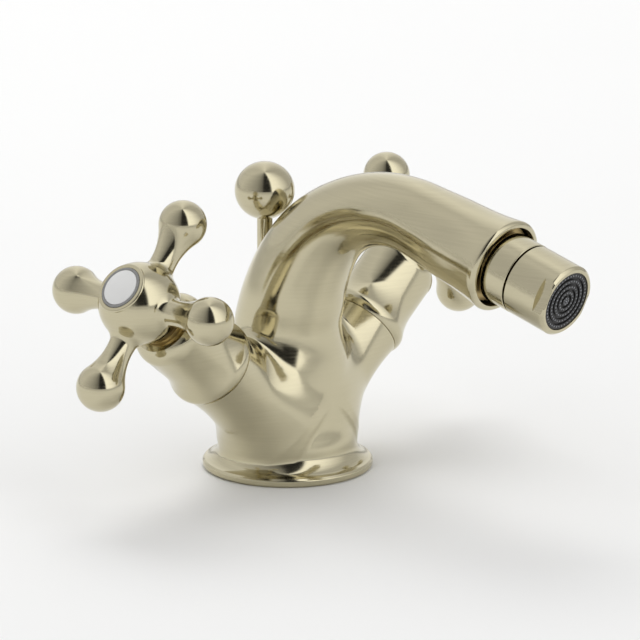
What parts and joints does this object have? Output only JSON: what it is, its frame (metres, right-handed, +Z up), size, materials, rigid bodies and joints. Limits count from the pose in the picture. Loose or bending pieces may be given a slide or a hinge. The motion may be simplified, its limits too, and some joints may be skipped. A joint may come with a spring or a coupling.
{
  "type": "bidet mixer",
  "caption": "Deck-mounted bidet mixer with a swan-neck spout, tilting swivel outlet, cross handles and a waste lift rod, satin brass.",
  "frame": {"origin": "centre of the foot's flat underside, on the deck", "axes": "+Z up from the deck, -Y towards the spout's outlet, +X towards the cold handle"},
  "size_m": [0.173, 0.1463, 0.0974],
  "materials": {
    "satin_brass": "satin-polished pale champagne plating",
    "raw_brass": "machined, unplated",
    "steel": "plain stainless",
    "rubber": "moulded matte",
    "acetal": "moulded natural white",
    "ceramic": null,
    "index_grey": "dark grey moulded ring",
    "index_white": "white moulded disc, bare",
    "aerator_black": "moulded black"
  },
  "bodies": {
    "mixer_body": {"body_casting": "satin_brass", "base_gasket": "rubber", "rod_bush": "acetal", "ball_seal": "rubber", "swivel_retainer": "raw_brass", "hot_headwork": "raw_brass", "hot_headwork_seal": "rubber", "hot_seat_seal": "rubber", "hot_fixed_disc": "ceramic", "hot_bonnet": "satin_brass", "cold_headwork": "raw_brass", "cold_headwork_seal": "rubber", "cold_seat_seal": "rubber", "cold_fixed_disc": "ceramic", "cold_bonnet": "satin_brass"},
    "hot_handle_set": {"hot_handle": "satin_brass", "hot_spindle": "raw_brass", "hot_moving_disc": "ceramic", "hot_spindle_oring": "rubber", "hot_spindle_clip": "steel", "hot_handle_screw": "steel", "hot_index_ring": "index_grey", "hot_index_disc": "index_white"},
    "cold_handle_set": {"cold_handle": "satin_brass", "cold_spindle": "raw_brass", "cold_moving_disc": "ceramic", "cold_spindle_oring": "rubber", "cold_spindle_clip": "steel", "cold_handle_screw": "steel", "cold_index_ring": "index_grey", "cold_index_disc": "index_white"},
    "lift_set": {"lift_rod": "satin_brass", "lift_knob": "satin_brass", "rod_clip": "steel"},
    "seat_ring": {"swivel_seat": "acetal"},
    "outlet": {"swivel_ball": "raw_brass", "outlet_collar": "satin_brass", "aerator_housing": "satin_brass", "aerator_washer": "rubber", "aerator_insert": "aerator_black", "flow_screen": "steel"}
  },
  "joints": [
    {"name": "hot_turn", "type": "hinge", "parent": "mixer_body", "child": "hot_handle_set", "pos_m": [-0.06209, 0, 0.06168], "axis": [-0.7771, 0, 0.6293], "range_deg": [0, 90]},
    {"name": "cold_turn", "type": "hinge", "parent": "mixer_body", "child": "cold_handle_set", "pos_m": [0.06209, 0, 0.06168], "axis": [0.7771, 0, 0.6293], "range_deg": [-90, 0]},
    {"name": "lift_rod_slide", "type": "slide", "parent": "mixer_body", "child": "lift_set", "axis": [0, 0, 1], "range_m": [0, 0.021]},
    {"name": "outlet_turn", "type": "hinge", "parent": "mixer_body", "child": "seat_ring", "pos_m": [0, -0.07904, 0.07827], "axis": [0, -0.9646, -0.2639], "continuous": true},
    {"name": "outlet_tilt", "type": "hinge", "parent": "seat_ring", "child": "outlet", "pos_m": [0, -0.07904, 0.07827], "axis": [1, 0, 0], "range_deg": [-10, 10]}
  ]
}
